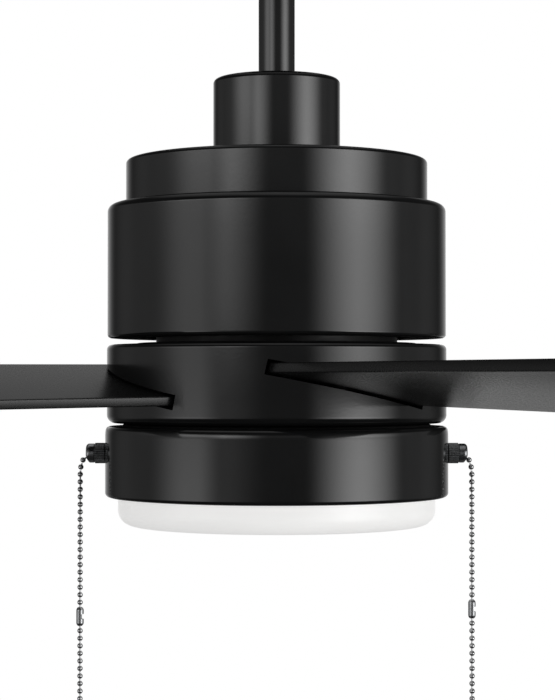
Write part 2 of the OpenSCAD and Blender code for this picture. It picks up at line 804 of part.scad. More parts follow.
module switch_ring_nuts() {
    color(CHAIN) for (side = [0, 180]) rotate([0, 0, side]) difference() {
        rod_x(kit_r + 0.1, 0, z_outlet, outlet_nut_r, outlet_nut_len);
        rod_x(kit_r - 1, 0, z_outlet, nipple_r + running, outlet_nut_len + 2);
    }
}

// Snout that turns each chain downwards, open low on its outer end
module chain_guides() {
    start = kit_r + 0.1 + outlet_nut_len;
    round_r = 2;
    mouth_r = 4.3;
    color(CHAIN) for (side = [0, 180]) rotate([0, 0, side]) difference() {
        translate([start, 0, z_outlet]) rotate([0, 90, 0]) rotate_extrude() intersection() {
            drum_outline(guide_r, guide_len, round_r, 0);
            square([guide_r + 1, guide_len]);
        }
        rod_x(start - 1, 0, z_outlet - 0.6, nipple_bore_r, guide_len + 0.2);
        translate([start + guide_len + 0.8, 0, z_outlet - 2.6]) sphere(r = mouth_r);
    }
}

module capacitor() {
    color(PLASTIC) translate([-23, -58, z_heatsink + heatsink_t + eps]) cube([46, 18, 22]);
}

module led_driver() {
    color([0.9, 0.9, 0.88]) translate([-35, 30, z_heatsink + heatsink_t + eps]) cube([70, 26, 21]);
}

module reverse_switch() {
    color(PLASTIC) difference() {
        translate([-13, 84, z_outlet - 7]) cube([26, 12.2, 14]);
        translate([-7.2, 90, z_outlet - 2.2]) cube([14.4, 10, 4.4]);
    }
}

module reverse_slider() {
    slider_w = 7;
    slider_h = 3.8;
    slider_in = 90.4;
    color(PLASTIC) translate([-slider_w / 2, slider_in, z_outlet - slider_h / 2])
        cube([slider_w, kit_r + 2 - slider_in, slider_h]);
}

module heatsink_plate() {
    z_foot = z_heatsink + 0.5;
    z_roof = z_kit_top + kit_step_h - kit_wall - eps;
    color(CAST) difference() {
        union() {
            translate([0, 0, z_heatsink]) cylinder(r = 89, h = heatsink_t);
            for (a = post_angles) rotate([0, 0, a]) post(post_r, 0, z_foot, 4, z_roof - z_foot);
        }
        for (a = post_angles) rotate([0, 0, a]) post(post_r, 0, z_heatsink - 1, 1.95, 14);
    }
}

module led_board() {
    color([0.92, 0.93, 0.92]) translate([0, 0, z_heatsink - board_t - eps]) cylinder(r = 69, h = board_t);
}

module led_chips() {
    color([0.95, 0.85, 0.35]) for (row = [[16, 62], [10, 40], [4, 16]])
        around(row[0]) translate([row[1] - 1.75, -1.4, z_heatsink - board_t - 0.9]) cube([3.5, 2.8, 0.88]);
}

module diffuser() {
    wall = 2.4;
    rim = 5.6;
    height = diffuser_drop + rim;
    color(OPAL) union() {
        difference() {
            drum(diffuser_r, z_diffuser_bottom, height, 0, diffuser_edge_r);
            drum(diffuser_r - wall, z_diffuser_bottom + wall, height, 0, diffuser_edge_r - wall);
        }
        around(3, 90)
            lug(diffuser_r - 1, diffuser_r + 3.4, z_kit_bottom + kit_wall + free_gap, 2.2, lug_angle);
    }
}

// ---------- pull chains ----------

function bead_at(k, line_x) = [line_x + bead_route[k][0], 0, z_outlet + bead_route[k][1]];

module bead(p) {
    translate(p) sphere(r = bead_r);
}

// Straight wire from p towards q, long enough to leave a gap before q's bead
module link_wire(p, q) {
    d = q - p;
    dist = norm(d);
    translate(p) rotate([0, acos(d[2] / dist), atan2(d[1], d[0])])
        cylinder(r = wire_r, h = dist - bead_r - link_gap);
}

// One of the beads that run through the outlet; k counts from the inside
module lead_bead(side, k, line_x) {
    color(CHAIN) mirror([side < 0 ? 1 : 0, 0, 0]) union() {
        bead(bead_at(k, line_x));
        if (k > 0) link_wire(bead_at(k, line_x), bead_at(k - 1, line_x));
    }
}

// The driven bead just outside the outlet, and the free chain that hangs from it
module chain_upper(side, line_x, count) {
    z_last = z_chain - (count - 1) * bead_pitch;
    color(CHAIN) mirror([side < 0 ? 1 : 0, 0, 0]) union() {
        for (k = [0:count - 1]) bead([line_x, 0, z_chain - k * bead_pitch]);
        translate([line_x, 0, z_last]) cylinder(r = wire_r, h = z_chain - z_last);
        link_wire([line_x, 0, z_chain], bead_at(2, line_x));
    }
}

// Open-sided coupling, the extension chain below it and its turned end weight
module chain_lower(side, line_x, count) {
    z_last = z_chain - (count - 1) * bead_pitch;
    z_mid = z_last - grip;
    z_first = z_mid - grip;
    z_end = z_first - lower_beads * bead_pitch;
    weight_r = 4;
    weight_h = 24;
    color(CHAIN) translate([side * line_x, 0, 0]) union() {
        difference() {
            translate([0, 0, z_mid]) rotate_extrude() intersection() {
                union() {
                    translate([0, -coupling_len / 2 + coupling_r])
                        square([coupling_r, coupling_len - 2 * coupling_r]);
                    for (end = [-1, 1]) translate([0, end * (coupling_len / 2 - coupling_r)])
                        circle(r = coupling_r);
                }
                translate([0, -coupling_len]) square([coupling_r + 1, 2 * coupling_len]);
            }
            translate([0, 0, z_mid - grip]) cylinder(r = coupling_bore_r, h = 2 * grip);
            for (end = [-1, 1]) translate([0, 0, z_mid + end * grip]) sphere(r = coupling_bore_r);
            translate([0, 0, z_mid]) cylinder(r = coupling_hole_r, h = coupling_len);
            translate([0.9, -coupling_r - 1, z_mid - 2.2]) cube([coupling_r, 2 * coupling_r + 2, 4.4]);
            translate([0, -wire_r - 0.2, z_mid]) cube([coupling_r + 1, 2 * wire_r + 0.4, coupling_len]);
        }
        for (k = [0:lower_beads]) bead([0, 0, z_first - k * bead_pitch]);
        translate([0, 0, z_end]) cylinder(r = wire_r, h = z_first - z_end);
        translate([0, 0, z_end - weight_h]) rotate_extrude() intersection() {
            drum_outline(weight_r, weight_h, 2.5, 1);
            square([weight_r + 1, weight_h]);
        }
    }
}

// ---------- assembly ----------

ceiling_bracket();
canopy();
canopy_screws();
hanger_ball();
downrod();
cross_pins();
set_screws();
yoke();
yoke_cotter();
motor_shaft();
shaft_nuts();
housing_plate();
main_housing();
upper_housing();
housing_screws();
stator_core();
stator_windings();
bearing_inner_races();
lead_wires();
kit_plate();
kit_housing();
kit_screws();
pull_switch(-1);  // fan_switch
pull_switch(1);  // light_switch
switch_ring_nuts();
chain_guides();
capacitor();
reverse_switch();
heatsink_plate();
led_board();
led_chips();
led_driver();
coupling_cover();
rotor_top_shell();
rotor_bottom_shell();
rotor_ring();
bearing_outer_races();
bearing_balls();
rotor_screws();
blade_hub();
hub_screws();
hub_base_plate();
blade(0);  // blade_1
blade(1);  // blade_2
blade(2);  // blade_3
blade(3);  // blade_4
blade_screws();
reverse_slider();
diffuser();
lead_bead(-1, 0, fan_chain_x);  // fan_bead_1
lead_bead(-1, 1, fan_chain_x);  // fan_bead_2
lead_bead(-1, 2, fan_chain_x);  // fan_bead_3
chain_upper(-1, fan_chain_x, fan_upper_beads);  // fan_chain_upper
chain_lower(-1, fan_chain_x, fan_upper_beads);  // fan_chain_lower
lead_bead(1, 0, light_chain_x);  // light_bead_1
lead_bead(1, 1, light_chain_x);  // light_bead_2
lead_bead(1, 2, light_chain_x);  // light_bead_3
chain_upper(1, light_chain_x, light_upper_beads);  // light_chain_upper
chain_lower(1, light_chain_x, light_upper_beads);  // light_chain_lower
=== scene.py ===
import json
import math
import bmesh
import bpy
from mathutils import Matrix, Vector


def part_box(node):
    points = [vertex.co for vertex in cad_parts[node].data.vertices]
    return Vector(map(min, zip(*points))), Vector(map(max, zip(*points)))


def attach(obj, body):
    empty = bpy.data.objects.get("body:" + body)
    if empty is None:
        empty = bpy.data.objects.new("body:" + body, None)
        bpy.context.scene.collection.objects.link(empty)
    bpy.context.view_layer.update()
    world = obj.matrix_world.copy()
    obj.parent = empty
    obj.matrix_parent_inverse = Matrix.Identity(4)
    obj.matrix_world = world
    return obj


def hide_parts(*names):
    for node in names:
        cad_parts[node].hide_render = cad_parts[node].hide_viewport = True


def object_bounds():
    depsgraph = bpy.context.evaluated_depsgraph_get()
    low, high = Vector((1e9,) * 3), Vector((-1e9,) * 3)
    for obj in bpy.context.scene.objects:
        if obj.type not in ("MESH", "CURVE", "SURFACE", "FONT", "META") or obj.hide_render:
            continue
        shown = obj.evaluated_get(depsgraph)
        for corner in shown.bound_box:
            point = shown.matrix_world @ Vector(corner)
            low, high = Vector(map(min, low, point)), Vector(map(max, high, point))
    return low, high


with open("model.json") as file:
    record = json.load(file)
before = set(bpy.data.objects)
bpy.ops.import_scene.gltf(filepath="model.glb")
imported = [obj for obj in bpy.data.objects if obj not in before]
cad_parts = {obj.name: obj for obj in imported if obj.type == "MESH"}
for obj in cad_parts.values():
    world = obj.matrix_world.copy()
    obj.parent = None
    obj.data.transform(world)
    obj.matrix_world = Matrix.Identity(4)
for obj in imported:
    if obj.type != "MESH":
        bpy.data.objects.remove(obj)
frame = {"nodes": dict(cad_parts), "record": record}
CAD_LOW, CAD_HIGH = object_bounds()

MM = 0.001
SEGMENTS = 288           # steps round a drum
ARC_STEPS = 9            # steps in a rounded edge
HOLD = 0.2 * MM          # how near an edge a straight wall is held
Z = Vector((0, 0, 1))

# Sheet thicknesses and edge radii of the drums, as in the CAD model
SHEET = 1.2 * MM
KIT_WALL = 1.5 * MM
HUB_WALL, HUB_TOP = 5 * MM, 3.5 * MM

# Blades, as in the CAD model
BLADE_COUNT = 4
BLADE_AZIMUTH = 25.75
BLADE_PITCH = 11.4
BLADE_DROOP = 0.5
BLADE_T = 5.5 * MM
BLADE_EDGE = 0.8 * MM
BLADE_ROOT_R, BLADE_TIP_R = 56 * MM, 660 * MM
BLADE_HALF_AT_HUB = 47.2 * MM
BLADE_FLARE = 0.028
TIP_CORNER, ROOT_CORNER = 22 * MM, 6 * MM

# Ball chains, as in the CAD model: (x before the hanging line, height above the outlet) in mm
BEAD_ROUTE = [(-5.2, -1.35), (-1.6, -4.05), (-0.35, -8.15)]
BEAD_R = 1.6 * MM
BEAD_PITCH = 4.4 * MM
CHAIN_DROP = 12.4 * MM
LOWER_BEADS = 20
GRIP = 3.9 * MM
WIRE_R = 0.5 * MM
WIRE_GAP = 0.4 * MM      # from a wire's end to the next moving bead
CHAINS = {"fan": (-1, 19), "light": (1, 18)}


# ---------- mesh helpers ----------

def new_object(name, mesh):
    obj = bpy.data.objects.new(name, mesh)
    bpy.context.scene.collection.objects.link(obj)
    return obj


def from_bmesh(name, bm, sharp=32):
    """Object from a bmesh, with outward normals and creases kept where faces turn more than sharp degrees."""
    bmesh.ops.remove_doubles(bm, verts=bm.verts, dist=1e-7)
    bmesh.ops.recalc_face_normals(bm, faces=bm.faces)
    mesh = bpy.data.meshes.new(name)
    bm.to_mesh(mesh)
    bm.free()
    smooth(mesh, sharp)
    return new_object(name, mesh)


def smooth(mesh, sharp=32):
    mesh.shade_smooth()
    mesh.set_sharp_from_angle(angle=math.radians(sharp))


def arc(cx, cz, r, start, end, steps=ARC_STEPS):
    """Points of an arc in the (radius, height) plane; angles in degrees from +radius towards +height."""
    return [
        (cx + r * math.cos(math.radians(start + (end - start) * k / steps)),
         cz + r * math.sin(math.radians(start + (end - start) * k / steps)))
        for k in range(steps + 1)
    ]


def held(profile):
    """Profile with a point close to each end of its long straight runs, so that they shade flat."""
    points = []
    for (r, z), (to_r, to_z) in zip(profile, profile[1:] + profile[:1]):
        points.append((r, z))
        length = math.hypot(to_r - r, to_z - z)
        if length > 8 * HOLD:
            for share in (HOLD / length, 1 - HOLD / length):
                points.append((r + (to_r - r) * share, z + (to_z - z) * share))
    return points


def lathe_bmesh(profile, segments=SEGMENTS, knurl=None):
    """Closed profile of (radius, height) turned about Z.

    knurl is (ridges, depth, least radius that is ridged).
    """
    profile = held(profile)
    bm = bmesh.new()
    rings = []
    for s in range(segments):
        a = 2 * math.pi * s / segments
        ring = []
        for r, z in profile:
            if knurl and r >= knurl[2]:
                r -= knurl[1] * abs(math.sin(a * knurl[0] / 2)) ** 0.6
            ring.append(bm.verts.new((r * math.cos(a), r * math.sin(a), z)))
        rings.append(ring)
    count = len(profile)
    for s in range(segments):
        here, there = rings[s], rings[(s + 1) % segments]
        for k in range(count):
            m = (k + 1) % count
            bm.faces.new((here[k], there[k], there[m], here[m]))
    return bm


def lathe(name, profile, segments=SEGMENTS, knurl=None, sharp=32):
    return from_bmesh(name, lathe_bmesh(profile, segments, knurl), sharp)


def box_bmesh(low, high):
    bm = bmesh.new()
    bmesh.ops.create_cube(bm, size=1)
    size = Vector(high) - Vector(low)
    for v in bm.verts:
        v.co = Vector((v.co[i] * size[i] for i in range(3))) + (Vector(low) + Vector(high)) / 2
    return bm


def bevelled_box(name, low, high, radius, steps=3):
    bm = box_bmesh(low, high)
    bmesh.ops.bevel(bm, geom=bm.edges[:], offset=radius, segments=steps, profile=0.5, affect="EDGES")
    return from_bmesh(name, bm)


def disc_cutter(name, r, length, segments=64):
    """Solid cylinder about Z from 0 to length."""
    return lathe(name, [(0, 0), (r, 0), (r, length), (0, length)], segments)


def move(obj, matrix):
    """Puts a transform into the mesh itself."""
    obj.data.transform(matrix)
    obj.data.update()
    return obj


def to_side(side, x, z):
    """Turns +Z into the outward X direction of one side, from a point on that side."""
    return Matrix.Translation((side * x, 0, z)) @ Matrix.Rotation(math.radians(90 * side), 4, "Y")


def combine(target, tools, operation):
    """Exact boolean of target with tools, applied; the tools go."""
    for tool in tools:
        mod = target.modifiers.new(operation.lower(), "BOOLEAN")
        mod.operation, mod.object, mod.solver = operation, tool, "EXACT"
    graph = bpy.context.evaluated_depsgraph_get()
    mesh = bpy.data.meshes.new_from_object(target.evaluated_get(graph))
    target.modifiers.clear()
    target.data = mesh
    for tool in tools:
        bpy.data.objects.remove(tool)
    smooth(mesh)
    return target


def join(name, objects):
    """One object from several, at the origin."""
    bm = bmesh.new()
    for obj in objects:
        obj.data.transform(obj.matrix_world)
        bm.from_mesh(obj.data)
        bpy.data.objects.remove(obj)
    mesh = bpy.data.meshes.new(name)
    bm.to_mesh(mesh)
    bm.free()
    smooth(mesh)
    return new_object(name, mesh)


def piece(obj, body, slot, material, *nodes):
    """Gives a finished piece its material and its body, and hides the CAD nodes it stands for."""
    obj.data.materials.clear()
    obj.data.materials.append(material)
    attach(obj, body)
    if nodes:
        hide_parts(*nodes)
    return obj


def paint(obj, material, test):
    """Puts a second material on the faces whose centre and normal pass the test."""
    obj.data.materials.append(material)
    for face in obj.data.polygons:
        if test(face.center, face.normal):
            face.material_index = 1


# ---------- material helpers ----------

def fill_ramp(ramp, stops):
    """Colour stops of a ramp, in rising order: (position, colour)."""
    ends = ramp.elements
    ends[0].position, ends[0].color = stops[0]
    ends[1].position, ends[1].color = stops[-1]
    for position, color in stops[1:-1]:
        ramp.elements.new(position).color = color


class Shader:
    """A Principled material with short calls for the textures that feed it."""

    def __init__(self, name, **sockets):
        self.mat = bpy.data.materials.new(name)
        self.mat.use_nodes = True
        self.tree = self.mat.node_tree
        self.bsdf = self.tree.nodes["Principled BSDF"]
        self.coords = self.tree.nodes.new("ShaderNodeTexCoord").outputs["Object"]
        self.normal = None
        for key, value in sockets.items():
            self.bsdf.inputs[key.replace("_", " ")].default_value = value

    def node(self, kind, **inputs):
        made = self.tree.nodes.new(kind)
        for key, value in inputs.items():
            made.inputs[key.replace("_", " ")].default_value = value
        return made

    def link(self, out, into):
        self.tree.links.new(out, into)

    def stretched(self, scale):
        mapping = self.node("ShaderNodeMapping")
        mapping.inputs["Scale"].default_value = scale
        self.link(self.coords, mapping.inputs["Vector"])
        return mapping.outputs["Vector"]

    def noise(self, scale, detail=3, stretch=(1, 1, 1), roughness=0.5):
        made = self.node("ShaderNodeTexNoise", Scale=scale, Detail=detail, Roughness=roughness)
        self.link(self.stretched(stretch), made.inputs["Vector"])
        return made.outputs["Fac"]

    def cells(self, scale, stretch=(1, 1, 1), output="Color"):
        made = self.node("ShaderNodeTexVoronoi", Scale=scale)
        self.link(self.stretched(stretch), made.inputs["Vector"])
        return made.outputs[output]

    def bands(self, scale, direction, stretch=(1, 1, 1), distortion=0.0):
        made = self.node("ShaderNodeTexWave", Scale=scale, Distortion=distortion)
        made.bands_direction = direction
        self.link(self.stretched(stretch), made.inputs["Vector"])
        return made.outputs["Fac"]

    def ramp(self, factor, stops):
        made = self.node("ShaderNodeValToRGB")
        fill_ramp(made.color_ramp, [(position, (*color, 1)) for position, color in stops])
        self.link(factor, made.inputs["Fac"])
        return made.outputs["Color"]

    def spread(self, factor, low, high, start=0.3, end=0.7):
        made = self.node("ShaderNodeMapRange")
        for key, value in zip(("From Min", "From Max", "To Min", "To Max"), (start, end, low, high)):
            made.inputs[key].default_value = value
        self.link(factor, made.inputs["Value"])
        return made.outputs["Result"]

    def color(self, factor, dark, light, start=0.35, end=0.65):
        self.link(self.ramp(factor, [(start, dark), (end, light)]), self.bsdf.inputs["Base Color"])
        return self

    def rough(self, factor, low, high):
        self.link(self.spread(factor, low, high), self.bsdf.inputs["Roughness"])
        return self

    def bump(self, height, distance, strength=1.0):
        made = self.node("ShaderNodeBump", Strength=strength, Distance=distance)
        self.link(height, made.inputs["Height"])
        if self.normal:
            self.link(self.normal, made.inputs["Normal"])
        self.normal = made.outputs["Normal"]
        self.link(self.normal, self.bsdf.inputs["Normal"])
        return self


def grey(value, tint=0.0):
    """Grey with a little blue in it."""
    return (value * (1 - tint), value, value * (1 + tint))


def black_enamel():
    s = Shader("black_enamel", IOR=1.5)
    s.color(s.noise(35, 4), grey(0.007, 0.02), grey(0.0095, 0.02))
    s.rough(s.noise(60, 5), 0.09, 0.12)
    s.bump(s.noise(620, 2), 0.00003, 0.35)
    s.bump(s.cells(2600, output="Distance"), 0.000008, 0.3)
    return s.mat


def blade_film():
    s = Shader("blade_film", IOR=1.45)
    s.color(s.noise(30, 4), grey(0.008, 0.01), grey(0.0105, 0.01))
    s.rough(s.noise(900, 3), 0.265, 0.29)
    s.bump(s.noise(1300, 3), 0.000008, 0.25)
    s.bump(s.cells(1900, output="Distance"), 0.00001, 0.3)
    return s.mat


def black_casting():
    s = Shader("black_casting", IOR=1.5)
    s.color(s.noise(160, 5), grey(0.006), grey(0.01))
    s.rough(s.noise(320, 4), 0.4, 0.55)
    s.bump(s.noise(900, 5), 0.00012, 0.5)
    return s.mat


def black_painted_shade():
    """Painted shade: a darker, duller copy of the black coat, put on undersides and on the faces inside the
    gaps.
    """
    s = Shader("black_painted_shade", Specular_IOR_Level=0.25)
    s.color(s.noise(120, 4), grey(0.0035), grey(0.006))
    s.rough(s.noise(260, 4), 0.75, 0.9)
    s.bump(s.noise(1100, 4), 0.00005, 0.4)
    return s.mat


def dark_gunmetal():
    """Blackened nickel of the nuts, the snouts and the couplings."""
    s = Shader("dark_gunmetal", Metallic=1.0)
    s.color(s.noise(900, 4), grey(0.26, 0.02), grey(0.36, 0.02))
    s.rough(s.noise(1500, 4), 0.24, 0.36)
    s.bump(s.noise(2500, 3), 0.00002, 0.3)
    return s.mat


def gunmetal():
    s = Shader("gunmetal", Metallic=1.0)
    s.color(s.noise(900, 4), grey(0.46, 0.01), grey(0.6, 0.01))
    s.rough(s.noise(1500, 4), 0.24, 0.36)
    s.bump(s.noise(2500, 3), 0.00002, 0.3)
    return s.mat


def zinc_steel():
    s = Shader("zinc_steel", Metallic=1.0)
    s.color(s.cells(190), grey(0.42, 0.03), grey(0.58, 0.03), 0.1, 0.9)
    s.rough(s.noise(240, 4), 0.3, 0.46)
    s.bump(s.noise(800, 4, (1, 1, 3)), 0.00003, 0.35)
    return s.mat


def cast_aluminium():
    s = Shader("cast_aluminium", Metallic=1.0)
    s.color(s.noise(160, 5), grey(0.46, 0.01), grey(0.6, 0.01))
    s.rough(s.noise(320, 4), 0.44, 0.6)
    s.bump(s.noise(900, 5), 0.00012, 0.5)
    return s.mat


def lamination_steel():
    s = Shader("lamination_steel", Metallic=1.0)
    s.color(s.bands(320, "Z"), grey(0.16, 0.02), grey(0.3, 0.02), 0.2, 0.8)
    s.rough(s.noise(400, 3), 0.4, 0.55)
    s.bump(s.bands(320, "Z"), 0.0001, 0.6)
    return s.mat


def copper():
    s = Shader("copper_windings", Metallic=1.0)
    s.color(s.noise(300, 3), (0.5, 0.19, 0.07), (0.66, 0.29, 0.12))
    s.rough(s.noise(500, 3), 0.28, 0.4)
    s.bump(s.bands(260, "Z"), 0.0003, 0.8)
    return s.mat


def wire_sheath():
    s = Shader("wire_sheath", Roughness=0.7)
    weave = s.bands(420, "DIAGONAL", (1, -1, 1))
    s.color(weave, grey(0.012), grey(0.045), 0.2, 0.8)
    s.bump(weave, 0.0003, 0.6)
    s.bump(s.bands(420, "DIAGONAL", (1, 1, 1)), 0.0003, 0.6)
    return s.mat


def nylon():
    s = Shader("nylon", IOR=1.53)
    s.color(s.noise(120, 3), grey(0.035), grey(0.05))
    s.rough(s.noise(300, 4), 0.35, 0.5)
    s.bump(s.noise(1400, 3), 0.00004, 0.4)
    return s.mat


def switch_plastic():
    s = Shader("switch_plastic", IOR=1.5)
    s.color(s.noise(200, 3), grey(0.014), grey(0.022))
    s.rough(s.noise(500, 3), 0.42, 0.56)
    s.bump(s.noise(3000, 2), 0.00003, 0.5)
    return s.mat


def driver_case():
    s = Shader("driver_case", IOR=1.5)
    s.color(s.noise(80, 3), (0.72, 0.72, 0.69), (0.8, 0.8, 0.77))
    s.rough(s.noise(500, 3), 0.45, 0.6)
    s.bump(s.noise(2400, 2), 0.00004, 0.4)
    return s.mat


def circuit_board():
    s = Shader("circuit_board", IOR=1.5)
    s.color(s.cells(120, (1, 3, 1)), (0.66, 0.68, 0.66), (0.82, 0.84, 0.82), 0.15, 0.6)
    s.rough(s.noise(300, 3), 0.3, 0.45)
    s.bump(s.cells(120, (1, 3, 1)), 0.00006, 0.4)
    return s.mat


def led_phosphor():
    s = Shader("led_phosphor", IOR=1.45)
    s.color(s.noise(600, 3), (0.75, 0.52, 0.08), (0.9, 0.68, 0.16))
    s.rough(s.noise(900, 3), 0.3, 0.5)
    s.bump(s.noise(2600, 2), 0.00004, 0.4)
    return s.mat


def opal_diffuser():
    # The emission is a painted glow: the pan shines though the LEDs behind it give no light.
    s = Shader(
        "opal_diffuser", IOR=1.49, Subsurface_Weight=0.35, Subsurface_Scale=0.004,
        Emission_Color=(1.0, 0.995, 0.985, 1.0), Emission_Strength=0.58)
    s.bsdf.inputs["Subsurface Radius"].default_value = (1.0, 0.95, 0.9)
    s.color(s.noise(25, 3), (0.56, 0.56, 0.558), (0.6, 0.6, 0.598))
    s.rough(s.noise(90, 3), 0.3, 0.38)
    s.bump(s.noise(420, 2), 0.00003, 0.25)
    return s.mat


def pale_floor():
    s = Shader("pale_floor", Roughness=0.8, Emission_Color=(1, 1, 1, 1), Emission_Strength=0.5)
    s.color(s.noise(1.2, 4), grey(0.8), grey(0.84))
    s.bump(s.noise(60, 3), 0.0004, 0.2)
    return s.mat


# ---------- drums ----------

def shell(r, low, high, top, bottom, wall, top_hole, bottom_hole):
    """Profile of a sheet drum: rounded top and bottom edges, a hole in each face."""
    outer = [(top_hole, high)] + (arc(r - top, high - top, top, 90, 0) if top else [(r, high)])
    outer += (arc(r - bottom, low + bottom, bottom, 0, -90) if bottom else [(r, low)]) + [(bottom_hole, low)]
    inner_top, inner_bottom = max(top - wall, 0), max(bottom - wall, 0)
    inner = [(bottom_hole, low + wall)] if bottom else []
    if inner_bottom:
        inner += arc(r - bottom, low + bottom, inner_bottom, -90, 0)
    inner += arc(r - top, high - top, inner_top, 0, 90) if inner_top else [(r - wall, high - wall)]
    return outer + inner + [(top_hole, high - wall)]


def make_canopy(mats):
    low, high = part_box("canopy")
    edge, hole, chamfer = 6 * MM, 18.5 * MM, 0.4 * MM
    obj = lathe("canopy_shell", [
        (high.x, high.z), *arc(high.x - edge, low.z + edge, edge, 0, -90),
        (hole + chamfer, low.z), (hole, low.z + chamfer), (hole, low.z + SHEET),
        *arc(high.x - edge, low.z + edge, edge - SHEET, -90, 0), (high.x - SHEET, high.z)])
    screw_z = (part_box("canopy_screws")[0].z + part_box("canopy_screws")[1].z) / 2
    tools = []
    for side in (-1, 1):
        tool = disc_cutter("tool", 2.2 * MM, 8 * MM)
        tools.append(move(tool, to_side(side, high.x - 4 * MM, screw_z)))
    combine(obj, tools, "DIFFERENCE")
    piece(obj, "ceiling_mount", "black_enamel", mats["black_enamel"], "canopy")


def make_canopy_screws(mats):
    """Pan-head screws with a slot, one at each side of the canopy."""
    low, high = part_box("canopy_screws")
    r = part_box("canopy")[1].x
    head_r, head_t, mid = 3.8 * MM, high.x - r, (low.z + high.z) / 2
    dome = head_t * 0.7
    screws = []
    for side in (-1, 1):
        head = lathe("head", [
            (0, 0), (head_r, 0.05 * MM), *arc(head_r - dome, head_t * 0.3, dome, 0, 90), (0, head_t)], 64)
        slot = bevelled_box(
            "tool", (-0.5 * MM, -5 * MM, head_t * 0.5), (0.5 * MM, 5 * MM, 3 * head_t), 0.08 * MM)
        combine(head, [slot], "DIFFERENCE")
        shank = lathe("shank", [
            (0, -8 * MM), (1.9 * MM, -7.6 * MM), (1.9 * MM, 0.1 * MM), (0, 0.1 * MM)], 48)
        place = to_side(side, r, mid)
        screws += [move(head, place), move(shank, place)]
    heads = join("canopy_screw_heads", screws)
    piece(heads, "ceiling_mount", "black_enamel", mats["black_enamel"], "canopy_screws")


def make_downrod(mats):
    low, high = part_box("downrod")
    r, bore, edge = high.x, 8.55 * MM, 0.5 * MM
    obj = lathe("downrod_tube", [
        (bore, high.z), *arc(r - edge, high.z - edge, edge, 90, 0, 4),
        *arc(r - edge, low.z + edge, edge, 0, -90, 4), (bore, low.z)], 160)
    piece(obj, "fan_body", "black_enamel", mats["black_enamel"], "downrod")


def make_coupling_cover(mats):
    low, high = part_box("coupling_cover")
    r, edge, hole = high.x, 2.9 * MM, 10.95 * MM
    lip = 0.5 * MM
    obj = lathe("coupling_cover_shell", [
        *arc(hole + lip, high.z - lip, lip, 180, 90, 4), *arc(r - edge, high.z - edge, edge, 90, 0),
        *arc(r - lip, low.z + lip, lip, 0, -90, 3), (r - SHEET, low.z),
        *arc(r - edge, high.z - edge, edge - SHEET, 0, 90), (hole, high.z - SHEET)])
    piece(obj, "coupling_cover", "black_enamel", mats["black_enamel"], "coupling_cover")


def make_upper_housing(mats):
    low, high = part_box("upper_housing")
    r, edge, hem = high.x, 2.25 * MM, 0.45 * MM
    hole, mouth = 9.5 * MM, 60 * MM
    obj = lathe("upper_housing_shell", [
        (hole, high.z), *arc(r - edge, high.z - edge, edge, 90, 0),
        *arc(r - hem, low.z + hem, hem, 0, -90, 4), (mouth, low.z), (mouth, low.z + SHEET),
        (r - SHEET, low.z + SHEET), *arc(r - edge, high.z - edge, edge - SHEET, 0, 90),
        (hole, high.z - SHEET)])
    piece(obj, "fan_body", "black_enamel", mats["black_enamel"], "upper_housing")


def make_main_housing(mats):
    low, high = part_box("main_housing")
    obj = lathe("main_housing_shell", shell(
        high.x, low.z, high.z, 4.3 * MM, 2 * MM, SHEET, 30 * MM, 75.5 * MM))
    piece(obj, "fan_body", "black_enamel", mats["black_enamel"], "main_housing")
    # Painted shade: the drum's underside takes the darker, duller black, where shade falls under it.
    paint(obj, mats["black_painted_shade"], lambda at, normal: at.z < low.z + 2 * SHEET and normal.z < -0.93)


# ---------- hub and blades ----------

def blade_matrix(index):
    """Frame of one blade: X outwards along it, Y across its pitched width."""
    hub_low, hub_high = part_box("blade_hub")
    drum_top = hub_high.z - 1 * MM
    middle = (hub_low.z + drum_top) / 2 + 0.45 * MM
    return (
        Matrix.Rotation(math.radians(BLADE_AZIMUTH + index * 360 / BLADE_COUNT), 4, "Z")
        @ Matrix.Translation((0, 0, middle))
        @ Matrix.Rotation(math.radians(-BLADE_PITCH), 4, "X")
        @ Matrix.Rotation(math.radians(BLADE_DROOP), 4, "Y"))


